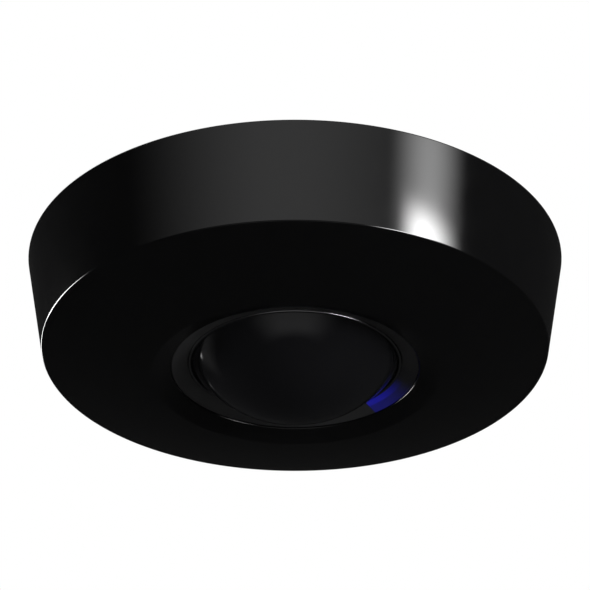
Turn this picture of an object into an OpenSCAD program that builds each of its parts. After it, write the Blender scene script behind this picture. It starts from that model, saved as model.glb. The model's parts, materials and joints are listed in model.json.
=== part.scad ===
// Overhead dome scanner module, hung lens down from a flat surface.
// The origin is the centre of the mount plate's back face and +Z points up into that surface.

/* [Housing] */
// Diameter of the housing at its back edge
housing_d = 120; // [108:1:144]
// Height of the tapered side wall
side_h = 22.6; // [18.8:0.2:27.2]
// How much the radius shrinks down the side wall
side_taper = 3.86; // [1:0.02:6]
// Drop of the crowned face from the edge to the funnel's mouth
face_drop = 5.6; // [4.6:0.1:6.6]
// Rise of the face's arc above a straight line
face_crown = 0.5; // [0.1:0.1:1]
// Wall thickness of the housing
wall = 2.2; // [1.8:0.1:2.6]
// Gap between the mounting surface and the housing's back edge
reveal = 0.8; // [0.4:0.1:1.2]

/* [Dome and rings] */
// Diameter of the dome where it meets its lip
dome_d = 45.7; // [38:0.1:55]
// How far the dome stands below its rim
dome_rise = 11.9; // [10:0.1:14.3]
// Wall thickness of the dome
dome_wall = 1.6; // [1.2:0.1:2]
// Width of the lip round the dome
lip_w = 0.85; // [0.7:0.05:1.1]
// How far the dome's rim lies above the light ring's inner edge
rim_step = 0.5; // [0.4:0.05:0.8]
// Width of the recessed light ring
ring_w = 3.7; // [3:0.1:4.6]
// Width of the funnel outside the ring
funnel_w = 4.4; // [3.6:0.1:5.4]
// Depth of the funnel
funnel_depth = 1.65; // [1.2:0.05:2]
// How much the light ring rises from its outer edge to its inner edge
ring_rise = 1; // [0.6:0.1:1.4]
// Start angle of the lit window, counter-clockwise from +X seen from above
status_start = 4; // [0:1:20]
// Sweep angle of the lit window
status_sweep = 44; // [20:1:60]

/* [Twist-lock mount] */
// Thickness of the mount plate
plate_h = 2.4; // [2:0.1:3]
// Circle through the fixing screws
fixing_pcd = 60; // [54:1:64]
// Diameter of a fixing screw hole
fixing_d = 4.5; // [3.6:0.1:5]
// Angle that the housing turns from locked to free
lock_turn = 14; // [10:1:18]

/* [Motor] */
// Outside diameter of the rotor cup
motor_d = 44.4; // [37:0.2:50]
// Diameter of the rotor shaft
shaft_d = 5; // [4:0.1:6]
// Number of wound teeth in the stator
teeth = 12; // [9, 12, 15]
// Number of magnets in the rotor cup
magnets = 14; // [10:2:18]
// Balls in each bearing
balls = 7; // [6, 7, 8]

/* [Scan head] */
// Diameter of the receiver's barrel
receiver_d = 12; // [10:0.1:14.4]
// Diameter of the emitter's barrel
emitter_d = 7.2; // [6:0.1:8.6]
// Direction that the scan head faces at rest, counter-clockwise from +X
look_angle = -132; // [-180:1:180]
// Angle of the optics below the horizontal
look_down = 45; // [40:1:50]
// Slots round the encoder ring
encoder_slots = 48; // [24:4:64]

/* [Hidden] */
$fn = 96;
eps = 0.01;          // overlap of a cutter past the face that it cuts
gap = 0.3;           // clearance between pieces that move past each other
fit_gap = 0.05;      // clearance of a piece in its own seat

// Levels of the outer skin, from the back to the dome
housing_r = housing_d / 2;
edge_r = housing_r - side_taper;
top_z = -reveal;
edge_z = top_z - side_h;
mouth_z = edge_z - face_drop;
funnel_z = mouth_z + funnel_depth;
ring_out_z = funnel_z + 0.3;
ring_in_z = ring_out_z + ring_rise;
rim_z = ring_in_z + rim_step;
apex_z = rim_z - dome_rise;

// Radii of the outer skin
dome_r = dome_d / 2;
lip_r = dome_r + lip_w;
ring_r = lip_r + ring_w;
mouth_r = ring_r + funnel_w;
ball_r = (pow(dome_r, 2) + pow(dome_rise, 2)) / (2 * dome_rise);
ball_z = apex_z + ball_r;
edge_fillet = 0.45;
back_fillet = 0.35;

// Stack between the dome and the turntable
bezel_low_z = ring_in_z + 1.3;
bezel_high_z = ring_in_z + 2.1;
seal_high_z = ring_in_z + 2.9;
flange_high_z = ring_in_z + 4.1;
frame_high_z = ring_in_z + 5.3;
clamp_r = lip_r + 2.1;
ring_flange_r = ring_r + 1.95;
ledge_z = ring_in_z + 0.7;
light_top_z = ring_in_z + 1.7;
led_board_low_z = ring_in_z + 2.4;
led_board_high_z = ring_in_z + 3.4;

// Back plate and base
plate_gap = 0.3;
base_high_z = -plate_h - plate_gap;
base_h = 2;
base_low_z = base_high_z - base_h;
function inner_r(z) = housing_r - wall - side_taper * (top_z - z) / (side_h - wall);
plate_r = inner_r(-plate_h) - 0.7;
base_r = inner_r(base_low_z) - gap;
skirt_h = 3.7;
skirt_low_z = base_low_z - skirt_h;
skirt_r = inner_r(skirt_low_z) - gap;
seal_z = (base_low_z + skirt_low_z) / 2;
seal_thick_r = 0.75;
seal_r = inner_r(seal_z) - seal_thick_r - fit_gap;
base_screw_r = skirt_r - 5.6;
base_screw_len = 6;
fixings = 3;
fixing_angle = 60;
cable_w = 28;        // window in the mount plate for the cable and its plug
cable_d = 18;
cable_corner = 3;
base_screw = 1.5;    // radii of the screws' shanks
hub_screw = 1;
board_screw = 1.25;
frame_screw = 1;
turntable_screw = 1;

// Twist-lock lugs
lug_w = 2.6;
lug_out_r = base_screw_r - 8;
lug_in_r = lug_out_r - lug_w;
lug_angle = 30;
stem_sweep = 6;
tongue_sweep = lock_turn - 0.5;
slot_slack = 0.4;    // degrees of play at each end of a slot
lugs = 3;
tongue_high_z = base_low_z - gap;
tongue_h = 1.5;
tongue_low_z = tongue_high_z - tongue_h;
pocket_wall = 0.8;
pocket_low_z = tongue_low_z - gap - pocket_wall;

// Motor, from the base down
motor_r = motor_d / 2;
shaft_r = shaft_d / 2;
hub_flange_r = 13;
hub_flange_h = 1.5;
hub_flange_z = base_low_z - hub_flange_h;
hub_screw_r = 10.8;
hub_r = 8.5;
bearing_out_r = 6.5;
stop_r = 5.6;
stop_z = hub_flange_z - 0.4;
turntable_low_z = frame_high_z + 1.2;
turntable_high_z = turntable_low_z + 1.4;
cup_low_z = turntable_high_z + 1.1;
cup_high_z = cup_low_z + 1.2;
hub_low_z = cup_high_z + 0.4;
bearing_low_z = hub_low_z + 0.3;
bearing_w = 0.465 * (stop_z - bearing_low_z);
bearing_pitch_r = (shaft_r + bearing_out_r) / 2;
bearing_ball_r = 0.275 * bearing_w;
ball_play = 0.05;
bearing_zs = [stop_z - bearing_w / 2, bearing_low_z + bearing_w / 2];
washer_high_z = stop_z - bearing_w;
washer_low_z = bearing_low_z + bearing_w;
cup_wall = 1.2;
magnet_h = 1.4;
air_gap = 0.6;
magnet_r = motor_r - cup_wall;
stator_r = magnet_r - magnet_h - air_gap;
cup_top_z = hub_flange_z - 0.7;
winding_high_z = hub_flange_z - 0.1;
winding_low_z = cup_high_z + 1;
end_turn_h = 1.2;
core_high_z = winding_high_z - end_turn_h;
core_low_z = winding_low_z + end_turn_h;
yoke_r = hub_r + 3;
tooth_w = 2;
shoe_h = 0.8;
coil_wrap = 0.9;     // thickness of a winding beside its tooth
shaft_top_z = base_low_z - 0.8;
shaft_low_z = turntable_low_z + 0.7;
turntable_screw_r = 9;
vent_pitch_r = 15;   // vents in the rotor cup's floor
vent_r = 2.6;
link_sight_r = 1.5;  // optical data link in the hollow shaft
link_h = 1.2;
shaft_bore_r = 1.2;
circlip_h = 0.5;
circlip_groove = 0.4;

// Power coils, encoder and turntable round the motor
coil_in_r = motor_r + 0.7;
coil_out_r = coil_in_r + 4.1;
coil_h = 1.5;
coil_gap = 0.6;
rotor_coil_high_z = turntable_high_z + coil_h;
stator_coil_low_z = rotor_coil_high_z + coil_gap;
board_low_z = stator_coil_low_z + coil_h;
board_t = 1.6;
board_high_z = board_low_z + board_t;
encoder_in_r = coil_out_r + 2.3;
encoder_w = 0.8;
encoder_high_z = board_low_z - 1.1;
turntable_r = encoder_in_r + encoder_w + 0.8;

// Main board and what stands on it
board_in_r = coil_in_r;
board_out_r = base_screw_r - 4.2;
part_r = (board_in_r + board_out_r) / 2;
post_r = board_out_r - 3.8;
post_angles = [112, 210, 330];
board_screw_tip_z = base_low_z - 3.2;
socket_angle = 90;
transformer_angle = 57;
socket_w = 16;
socket_d = 12;
socket_mouth_w = 11.9;
socket_mouth_d = 7;
chip_w = 14;
chip_h = 1.4;
pad_h = 0.9;
link_r = max(mouth_r + 2.6, turntable_r + 3.4);
frame_screw_r = max(ring_r + 6.4, turntable_r + 2.9);
led_board_r = frame_screw_r + 3.2;
link_angle = 150;
sensor_angle = 200;
sensor_gap = 0.5;
flex_angle = 300;
flex_w = 6;
flex_t = 0.25;
motor_socket_h = 2.6;
flex_start_r = hub_flange_r + 0.3;
flex_end_r = coil_out_r;

// Scan head
skirt_in_r = dome_r - dome_wall - 0.1;
head_r = skirt_in_r - 1.6;
head_clear = 1.1;
head_high_z = turntable_low_z - 1.1;
head_ball_r = ball_r - dome_wall - head_clear;
head_wall = 1.2;
pivot_z = head_high_z - 2.4;
receiver_r = receiver_d / 2;
emitter_r = emitter_d / 2;
barrel_web = 2;
receiver_y = emitter_r + barrel_web / 2;
emitter_y = -receiver_r - barrel_web / 2;
// The slanted face stands as far out as its lower lens corner allows inside the turret's ball.
lens_rim = 0.5;
pivot_drop = ball_z - pivot_z;
corner = pow(receiver_r + lens_rim + pivot_drop * cos(look_down), 2) + pow(receiver_y, 2);
face_t = sqrt(pow(head_ball_r, 2) - corner) - pivot_drop * sin(look_down);
// The optics block starts where the receiver's upper corner clears the head board.
block_clear = 0.7;
block_t = (receiver_r * cos(look_down) - (head_high_z - pivot_z) + block_clear) / sin(look_down);
barrel_wall = 0.8;

// Upright cylinder between two levels
module disc(r, low, high) {
    translate([0, 0, low]) cylinder(r = r, h = high - low);
}

// Ring between two radii and two levels
module ring(out_r, in_r, low, high) {
    difference() {
        disc(out_r, low, high);
        disc(in_r, low - 1, high + 1);
    }
}

// Stretch of a ring, from one angle through a sweep
module arc_wall(in_r, out_r, start, sweep, low, high) {
    rotate([0, 0, start]) translate([0, 0, low]) rotate_extrude(angle = sweep)
        translate([in_r, 0]) square([out_r - in_r, high - low]);
}

// Box centred in X and Y between two levels
module block(w, d, low, high) {
    translate([-w / 2, -d / 2, low]) cube([w, d, high - low]);
}

// The same box with rounded upright edges
module rounded_block(w, d, r, low, high) {
    union() {
        block(w - 2 * r, d, low, high);
        block(w, d - 2 * r, low, high);
        for (x = [-1, 1], y = [-1, 1])
            translate([x * (w / 2 - r), y * (d / 2 - r), 0]) disc(r, low, high);
    }
}

// Puts its children at a radius and an angle, facing outwards
module at(r, angle) {
    rotate([0, 0, angle]) translate([r, 0, 0]) children();
}

module around(count, r, start = 0) {
    for (i = [0 : count - 1]) at(r, start + i * 360 / count) children();
}

// Flat-headed screw that points up, with its head's outer face at head_z
module screw_up(r, head_r, head_h, head_z, tip_z) {
    difference() {
        union() {
            disc(head_r, head_z, head_z + head_h);
            disc(r, head_z + head_h - eps, tip_z);
        }
        translate([0, 0, head_z - eps]) cylinder(r = 0.55 * head_r, h = 0.6 * head_h, $fn = 6);
    }
}

// Countersunk screw that points down, with its head flush at head_z
module countersunk_down(r, head_z, tip_z) {
    difference() {
        union() {
            translate([0, 0, head_z - r]) cylinder(r1 = r, r2 = 2 * r, h = r);
            disc(r, tip_z, head_z - r + eps);
        }
        translate([0, 0, head_z - 0.7 * r]) cylinder(r = 0.8 * r, h = r, $fn = 6);
    }
}

// Hole that takes the same screw
module countersink_down(r, head_z, tip_z) {
    translate([0, 0, head_z - r]) cylinder(r1 = r, r2 = 2 * r, h = r);
    translate([0, 0, head_z - eps]) cylinder(r = 2 * r, h = 1);
    disc(r, tip_z, head_z - r + eps);
}

// Puts its children at the middle of the circuit board's ring
module on_board(angle) {
    at(part_r, angle) rotate([0, 0, -90]) children();
}

// Frame of the optics: +Z looks out of the head and +X points up from the line of sight
module looking() {
    rotate([0, 0, look_angle]) translate([0, 0, pivot_z]) rotate([0, 90 + look_down, 0]) children();
}

// ---- Mount ----

module lug(angle) {
    arc_wall(lug_in_r, lug_out_r, angle, stem_sweep, tongue_low_z, -plate_h + eps);
    arc_wall(lug_in_r, lug_out_r, angle, stem_sweep + tongue_sweep, tongue_low_z, tongue_high_z);
}

module mount_plate() color("dimgray") {
    groove_h = 0.7;
    groove_in_r = lug_out_r + 2.6;
    groove_out_r = plate_r - 4;
    sink_h = 1.3;
    difference() {
        union() {
            disc(plate_r, -plate_h, 0);
            for (i = [0 : lugs - 1]) lug(lug_angle + i * 360 / lugs);
        }
        ring(groove_out_r, groove_in_r, -groove_h, 1);
        on_board(socket_angle + lock_turn / 2) rounded_block(cable_w, cable_d, cable_corner, -plate_h - 1, 1);
        around(fixings, fixing_pcd / 2, fixing_angle) {
            disc(fixing_d / 2, -plate_h - 1, 1);
            translate([0, 0, -plate_h]) cylinder(r1 = fixing_d, r2 = fixing_d / 2, h = sink_h);
            disc(fixing_d, -plate_h - 1, -plate_h);
        }
    }
}

// ---- Housing ----

module slot_pocket(angle) {
    start = angle - lock_turn - slot_slack;
    sweep = lock_turn + stem_sweep + tongue_sweep + 2 * slot_slack;
    wall_sweep = 1.4;
    arc_wall(lug_in_r - gap - pocket_wall, lug_out_r + gap + pocket_wall,
        start - wall_sweep, sweep + 2 * wall_sweep, pocket_low_z, base_low_z + eps);
}

module slot_cut(angle) {
    start = angle - lock_turn - slot_slack;
    slot_sweep = lock_turn + stem_sweep + 2 * slot_slack;
    arc_wall(lug_in_r - gap, lug_out_r + gap, start, slot_sweep, base_low_z - eps, base_high_z + 1);
    arc_wall(lug_in_r - gap, lug_out_r + gap, start, slot_sweep + tongue_sweep,
        pocket_low_z + pocket_wall, base_low_z);
}

module rear_base() color("silver") {
    skirt_w = 2.6;
    rib_w = 1.2;
    difference() {
        union() {
            disc(base_r, base_low_z, base_high_z);
            ring(skirt_r, skirt_r - skirt_w, skirt_low_z, base_low_z + eps);
            for (i = [0 : lugs - 1]) slot_pocket(lug_angle + i * 360 / lugs);
            for (a = post_angles) at(post_r, a) disc(3.2, board_high_z, base_low_z + eps);
            on_board(180) block(chip_w, chip_w, board_high_z + chip_h + pad_h, base_low_z + eps);
            around(12, 0, 15) translate([hub_flange_r + 1.5, -rib_w / 2, base_low_z - 0.6])
                cube([lug_in_r - hub_flange_r - 4, rib_w, 0.6 + eps]);
        }
        for (i = [0 : lugs - 1]) slot_cut(lug_angle + i * 360 / lugs);
        on_board(socket_angle) block(socket_w + 0.4, socket_d + 0.4, base_low_z - 2, base_high_z + 1);
        for (a = post_angles) at(post_r, a)
            disc(board_screw + fit_gap, board_high_z - 1, board_screw_tip_z + 1.6);
        around(4, base_screw_r, 45) countersink_down(base_screw + fit_gap, base_high_z, skirt_low_z - 1);
        around(3, hub_screw_r, 30) countersink_down(hub_screw + fit_gap, base_high_z, base_low_z - 1);
        translate([0, 0, seal_z]) rotate_extrude() translate([seal_r, 0])
            circle(r = seal_thick_r + fit_gap, $fn = 32);
        disc(link_sight_r + fit_gap, base_low_z - 1, base_low_z + link_h);
        at(flex_start_r - 1, flex_angle) translate([0, -flex_w / 2 - 1, base_low_z - 1])
            cube([flex_end_r - flex_start_r + 2, flex_w + 2, 1]);
    }
}

module base_screws() color("lightgray")
    around(4, base_screw_r, 45) countersunk_down(base_screw, base_high_z, base_low_z - base_screw_len);

module base_seal() color("black")
    translate([0, 0, seal_z]) rotate_extrude() translate([seal_r, 0]) circle(r = seal_thick_r, $fn = 32);

// Points of the face's crown, from the edge to the funnel's mouth, moved up by a thickness
crown_steps = 14;
function crown(i, from_r, up) =
    let (t = i / crown_steps, r = from_r + (mouth_r - from_r) * t)
    [r, edge_z + (mouth_z - edge_z) * (from_r - r) / (from_r - mouth_r)
        - 4 * face_crown * t * (1 - t) + up];

module housing_shell() color("black") {
    boss_r = 3.4;
    frame_boss_r = 3;
    inside_edge_r = edge_r - wall;
    difference() {
        union() {
            rotate_extrude($fn = 180) polygon(concat(
                [[housing_r - wall, top_z]],
                [for (a = [90 : -30 : 0]) [
                    housing_r - back_fillet + back_fillet * cos(a),
                    top_z - back_fillet + back_fillet * sin(a)]],
                [for (a = [0 : 18 : 90]) [
                    edge_r - edge_fillet + edge_fillet * cos(a),
                    edge_z + edge_fillet * 0.8 - edge_fillet * sin(a)]],
                [for (i = [1 : crown_steps]) crown(i, edge_r, 0)],
                [[ring_r, funnel_z], [ring_r, ledge_z], [ring_flange_r + 0.2, ledge_z],
                    [ring_flange_r + 1.6, mouth_z + wall]],
                [for (i = [crown_steps - 1 : -1 : 0]) crown(i, inside_edge_r, wall)]));
            intersection() {
                union() {
                    around(4, base_screw_r, 45) disc(boss_r, mouth_z, skirt_low_z - 0.2);
                    around(4, frame_screw_r, 0) disc(frame_boss_r, mouth_z, led_board_low_z);
                }
                rotate_extrude($fn = 180) polygon(concat(
                    [[housing_r - wall - 0.6, top_z], [edge_r - wall / 2, edge_z + 1]],
                    [for (i = [1 : crown_steps]) crown(i, edge_r - wall / 2, wall / 2)],
                    [[mouth_r, top_z]]));
            }
        }
        around(4, base_screw_r, 45) disc(base_screw + fit_gap, base_low_z - base_screw_len - 0.4, top_z);
        around(4, frame_screw_r, 0) disc(frame_screw + fit_gap, led_board_low_z - 2.4, led_board_high_z);
    }
}

// ---- Rings and dome ----

// Cross-section of the recessed light ring
module light_ring_section() {
    slack = fit_gap;
    polygon([[ring_r - slack, ring_out_z], [lip_r + slack, ring_in_z], [lip_r + slack, bezel_low_z - 0.1],
        [clamp_r + 0.15, bezel_low_z - 0.1], [clamp_r + 0.15, light_top_z], [ring_flange_r, light_top_z],
        [ring_flange_r, ledge_z], [ring_r - slack, ledge_z]]);
}

module light_ring() color("dimgray")
    rotate([0, 0, status_start + status_sweep]) rotate_extrude(angle = 360 - status_sweep)
        light_ring_section();

module status_window() color("mediumblue")
    rotate([0, 0, status_start]) rotate_extrude(angle = status_sweep) light_ring_section();

module bezel_ring() color("black") {
    inside_r = dome_r + 0.04;
    round_r = (lip_r - inside_r) / 2;
    rotate_extrude() polygon(concat(
        [[inside_r, bezel_high_z], [clamp_r, bezel_high_z], [clamp_r, bezel_low_z], [lip_r, bezel_low_z]],
        [for (a = [0 : 20 : 180]) [inside_r + round_r + round_r * cos(a), rim_z - round_r * sin(a)]]));
}

module dome_window() color([0.03, 0.03, 0.04]) {
    skirt_out_r = dome_r - 0.1;
    difference() {
        union() {
            intersection() {
                translate([0, 0, ball_z]) sphere(r = ball_r, $fn = 120);
                disc(dome_r + 1, apex_z - 1, rim_z);
            }
            disc(skirt_out_r, rim_z - eps, seal_high_z + eps);
            disc(clamp_r, seal_high_z, flange_high_z);
        }
        intersection() {
            translate([0, 0, ball_z]) sphere(r = ball_r - dome_wall, $fn = 120);
            disc(skirt_in_r, apex_z - 1, rim_z);
        }
        disc(skirt_in_r, rim_z - eps, flange_high_z + 1);
    }
}

module dome_seal() color("black") ring(clamp_r - 0.2, dome_r + 0.1, bezel_high_z, seal_high_z);

module window_frame() color("dimgray") {
    difference() {
        union() {
            ring(led_board_r, skirt_in_r + 1.2, flange_high_z, frame_high_z);
            ring(led_board_r, led_board_r - 1.4, led_board_high_z, flange_high_z + eps);
            around(4, frame_screw_r, 0) disc(2.4, led_board_high_z, flange_high_z + eps);
        }
        around(4, frame_screw_r, 0) disc(frame_screw + fit_gap, led_board_high_z - 1, frame_high_z + 1);
        at(link_r - 2.2, link_angle) translate([0, -7, led_board_high_z - 1]) cube([10, 14, 4]);
    }
}

module window_frame_screws() color("lightgray")
    around(4, frame_screw_r, 0) difference() {
        union() {
            disc(1.9 * frame_screw, frame_high_z, frame_high_z + frame_screw);
            disc(frame_screw, led_board_low_z - 2.2, frame_high_z + eps);
        }
        translate([0, 0, frame_high_z + 0.4 * frame_screw]) cylinder(r = 0.9 * frame_screw, h = 1, $fn = 6);
    }

module led_board() color("darkgreen") {
    difference() {
        ring(led_board_r, clamp_r + 0.4, led_board_low_z, led_board_high_z);
        around(4, frame_screw_r, 0) disc(frame_screw + fit_gap, led_board_low_z - 1, led_board_high_z + 1);
    }
}

module status_leds() color("white")
    around(8, ring_r + 0.2, 40) block(1.6, 2.2, light_top_z + 0.1, led_board_low_z);

// ---- Boards ----

module link_connector() color("black")
    at(link_r, link_angle) block(2.6, 11, led_board_high_z, board_low_z);

module main_board() color("darkgreen") {
    difference() {
        ring(board_out_r, board_in_r, board_low_z, board_high_z);
        for (a = post_angles) at(post_r, a) disc(board_screw + fit_gap, board_low_z - 1, board_high_z + 1);
    }
}

module board_screws() color("lightgray")
    for (a = post_angles) at(post_r, a)
        screw_up(board_screw, 1.85 * board_screw, board_screw, board_low_z - board_screw, board_screw_tip_z);

module processor() color("black") on_board(180) block(chip_w, chip_w, board_high_z, board_high_z + chip_h);

module thermal_pad() color("lightsteelblue")
    on_board(180) block(chip_w, chip_w, board_high_z + chip_h, board_high_z + chip_h + pad_h);

module shield_can() color("silver") {
    can_w = 18;
    can_h = 2.5;
    skin = 0.3;
    on_board(0) difference() {
        rounded_block(can_w, can_w, 1, board_high_z, board_high_z + can_h);
        rounded_block(can_w - 2 * skin, can_w - 2 * skin, 0.7, board_high_z - 1, board_high_z + can_h - skin);
    }
}

module capacitors() color("darkslategray")
    for (a = [256, 270, 284]) at(part_r - 1, a) {
        disc(3.1, board_high_z, base_low_z - 2.3);
    }

module inductors() color("gray")
    for (a = [222, 238]) on_board(a) rounded_block(7, 7, 1.5, board_high_z, board_high_z + 3.7);

module network_transformer() color("black")
    on_board(transformer_angle) block(12, 9, board_high_z, board_high_z + 4.1);

module network_socket() color("gainsboro")
    on_board(socket_angle) difference() {
        block(socket_w, socket_d, board_high_z, base_high_z);
        block(socket_mouth_w, socket_mouth_d, board_high_z + 1.6, base_high_z + 1);
        translate([0, -socket_mouth_d / 2 - 0.9, 0]) block(4, 2, board_high_z + 1.6, base_high_z + 1);
    }

module socket_contacts() color("gold") {
    pitch = 1.02;
    on_board(socket_angle) for (i = [-3.5 : 3.5])
        translate([i * pitch, socket_mouth_d / 2 - 0.5, 0]) block(0.4, 1, board_high_z + 1.6, base_high_z - 2.2);
}

// ---- Motor ----

module motor_base() color("silver") {
    difference() {
        union() {
            disc(hub_flange_r, hub_flange_z, base_low_z);
            disc(hub_r, hub_low_z, hub_flange_z + eps);
        }
        disc(bearing_out_r, hub_low_z - 1, stop_z);
        disc(stop_r, stop_z - 1, base_low_z + 1);
        around(3, hub_screw_r, 30) disc(hub_screw + fit_gap, hub_flange_z - 1, base_low_z + 1);
    }
}

module motor_base_screws() color("lightgray")
    around(3, hub_screw_r, 30) countersunk_down(hub_screw, base_high_z, hub_flange_z + 0.1);

module stator_core() color("slategray") {
    difference() {
        union() {
            ring(yoke_r, hub_r + 0.02, core_low_z, core_high_z);
            around(teeth, 0) translate([yoke_r - 0.5, -tooth_w / 2, core_low_z])
                cube([stator_r - yoke_r + 0.1, tooth_w, core_high_z - core_low_z]);
            for (i = [0 : teeth - 1])
                arc_wall(stator_r - shoe_h, stator_r, i * 360 / teeth - 130 / teeth, 260 / teeth,
                    core_low_z, core_high_z);
        }
    }
}

module stator_windings() color("chocolate") {
    coil_start = yoke_r + 0.3;
    coil_len = stator_r - shoe_h - coil_start - 0.2;
    around(teeth, coil_start + coil_len / 2) difference() {
        block(coil_len, tooth_w + 2 * coil_wrap, winding_low_z, winding_high_z);
        block(coil_len + 1, tooth_w + fit_gap, core_low_z - fit_gap, core_high_z + fit_gap);
    }
}

module motor_flex() color("orange") {
    socket_top_z = board_high_z + motor_socket_h;
    strip_z = hub_flange_z + 0.25;
    start_r = flex_start_r;
    end_r = flex_end_r;
    rotate([0, 0, flex_angle]) {
        translate([start_r, -flex_w / 2, strip_z]) cube([end_r - start_r, flex_w, flex_t]);
        translate([start_r, -flex_w / 2, winding_high_z])
            cube([flex_t, flex_w, strip_z - winding_high_z + flex_t]);
        translate([end_r - flex_t, -flex_w / 2, socket_top_z]) cube([flex_t, flex_w, strip_z - socket_top_z]);
    }
}

module motor_socket() color("ivory")
    at(flex_end_r, flex_angle) block(2.6, flex_w + 2, board_high_z, board_high_z + motor_socket_h);

module race_groove(z) {
    translate([0, 0, z]) rotate_extrude() translate([bearing_pitch_r, 0])
        circle(r = bearing_ball_r + ball_play, $fn = 48);
}

module bearing_outer_races() color("lightsteelblue")
    for (z = bearing_zs) difference() {
        ring(bearing_out_r, bearing_pitch_r + 0.55 * bearing_ball_r, z - bearing_w / 2, z + bearing_w / 2);
        race_groove(z);
    }

module bearing_inner_races() color("lightsteelblue")
    for (z = bearing_zs) difference() {
        ring(bearing_pitch_r - 0.55 * bearing_ball_r, shaft_r, z - bearing_w / 2, z + bearing_w / 2);
        race_groove(z);
    }

module ball_set(r, z) {
    around(balls, bearing_pitch_r) translate([0, 0, z]) sphere(r = r, $fn = 40);
}

module bearing_balls() color("silver")
    for (z = bearing_zs) ball_set(bearing_ball_r, z);

module bearing_cages() color("goldenrod") {
    cage_half_h = 1.3 * bearing_ball_r;
    cage_half_w = 0.3 * bearing_ball_r;
    for (z = bearing_zs) difference() {
        ring(bearing_pitch_r + cage_half_w, bearing_pitch_r - cage_half_w, z - cage_half_h, z + cage_half_h);
        ball_set(bearing_ball_r + 0.08, z);
    }
}

module preload_washer() color("silver")
    ring(bearing_out_r - fit_gap, bearing_pitch_r + 0.7 * bearing_ball_r, washer_low_z, washer_high_z);

module rotor_shaft() color("silver") {
    groove_low_z = stop_z;
    difference() {
        disc(shaft_r, shaft_low_z, shaft_top_z);
        disc(shaft_bore_r, shaft_low_z - 1, shaft_top_z + 1);
        ring(shaft_r + 1, shaft_r - circlip_groove, groove_low_z, groove_low_z + circlip_h + fit_gap);
    }
}

module shaft_circlip() color("dimgray") {
    mouth = 50;
    arc_wall(shaft_r - circlip_groove, shaft_r + 0.9, mouth / 2, 360 - mouth, stop_z, stop_z + circlip_h);
}

module rotor_cup() color("gray") {
    boss_r = shaft_r + 1.1;
    difference() {
        union() {
            disc(motor_r, cup_low_z, cup_high_z);
            ring(motor_r, magnet_r, cup_low_z, cup_top_z);
            disc(boss_r, cup_high_z - eps, bearing_low_z);
        }
        disc(shaft_r + fit_gap, cup_low_z - 1, bearing_low_z + 1);
        around(3, turntable_screw_r, 60) disc(turntable_screw + fit_gap, cup_low_z - 1, cup_high_z + 1);
        around(6, vent_pitch_r, 0) disc(vent_r, cup_low_z - 1, cup_high_z + 1);
    }
}

module rotor_magnets() color("darkslategray") {
    magnet_sweep = 360 / magnets - 1.5;
    for (i = [0 : magnets - 1])
        arc_wall(magnet_r - magnet_h, magnet_r, i * 360 / magnets, magnet_sweep,
            core_low_z - 0.4, core_high_z + 0.4);
}

// ---- Turntable, power coils and encoder ----

module turntable() color("dimgray") {
    boss_r = 12;
    difference() {
        union() {
            disc(turntable_r, turntable_low_z, turntable_high_z);
            disc(boss_r, turntable_high_z - eps, cup_low_z);
        }
        disc(shaft_r + fit_gap, shaft_low_z - 0.1, cup_low_z + 1);
        disc(link_sight_r + fit_gap, turntable_low_z - 1, shaft_low_z);
        around(3, turntable_screw_r, 60) {
            disc(turntable_screw + fit_gap, turntable_low_z - 1, cup_low_z + 1);
            translate([0, 0, turntable_low_z - eps])
                cylinder(r1 = 2 * (turntable_screw + fit_gap), r2 = turntable_screw + fit_gap,
                    h = turntable_screw + fit_gap);
        }
    }
}

module turntable_screws() color("lightgray")
    around(3, turntable_screw_r, 60) difference() {
        union() {
            translate([0, 0, turntable_low_z])
                cylinder(r1 = 2 * turntable_screw, r2 = turntable_screw, h = turntable_screw);
            disc(turntable_screw, turntable_low_z + turntable_screw - eps, cup_high_z);
        }
        translate([0, 0, turntable_low_z - 1]) cylinder(r = 0.8 * turntable_screw, h = 1.5, $fn = 6);
    }

module power_coil_fixed() color("chocolate")
    ring(coil_out_r, coil_in_r, stator_coil_low_z, board_low_z);

module power_coil_rotor() color("chocolate")
    ring(coil_out_r, coil_in_r, turntable_high_z, rotor_coil_high_z);

module encoder_ring() color("gray") {
    slot_h = 0.55 * (encoder_high_z - turntable_high_z);
    slot_w = PI * encoder_in_r / encoder_slots;
    difference() {
        ring(encoder_in_r + encoder_w, encoder_in_r, turntable_high_z, encoder_high_z);
        around(encoder_slots, encoder_in_r + encoder_w / 2)
            block(3, slot_w, encoder_high_z - slot_h, encoder_high_z + 1);
    }
}

module encoder_sensor() color("black") {
    arm_low_z = turntable_high_z + 0.5;
    at(encoder_in_r + encoder_w / 2, sensor_angle) difference() {
        block(4.2, 6, arm_low_z, board_low_z);
        block(encoder_w + 2 * sensor_gap, 8, arm_low_z - 1, board_low_z - 0.7);
    }
}

module data_link_sensor() color("black") disc(link_sight_r, base_low_z - 0.3, base_low_z + link_h);

module data_link_emitter() color("black") disc(link_sight_r, turntable_low_z, shaft_low_z - 0.1);

// ---- Scan head ----

// Everything inside the turret's outer form, moved in by an inset
module turret(inset) {
    intersection() {
        translate([0, 0, ball_z]) sphere(r = head_ball_r - inset, $fn = 120);
        disc(head_r - inset, apex_z, head_high_z);
        looking() translate([-60, -60, -60]) cube([120, 120, 60 + face_t - inset]);
    }
}

module head_board() color("darkgreen") disc(head_r - 2, head_high_z, turntable_low_z);

module head_cover() color([0.05, 0.05, 0.06]) {
    difference() {
        turret(0);
        difference() {
            turret(head_wall);
            looking() translate([-60, -60, face_t - head_wall]) cube([120, 120, 10]);
        }
        disc(head_r - head_wall, head_high_z - 1, head_high_z + 1);
        looking() {
            translate([0, receiver_y, 0]) disc(receiver_r + 0.15, 0, 40);
            translate([0, emitter_y, 0]) disc(emitter_r + 0.15, 0, 40);
        }
    }
}

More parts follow.
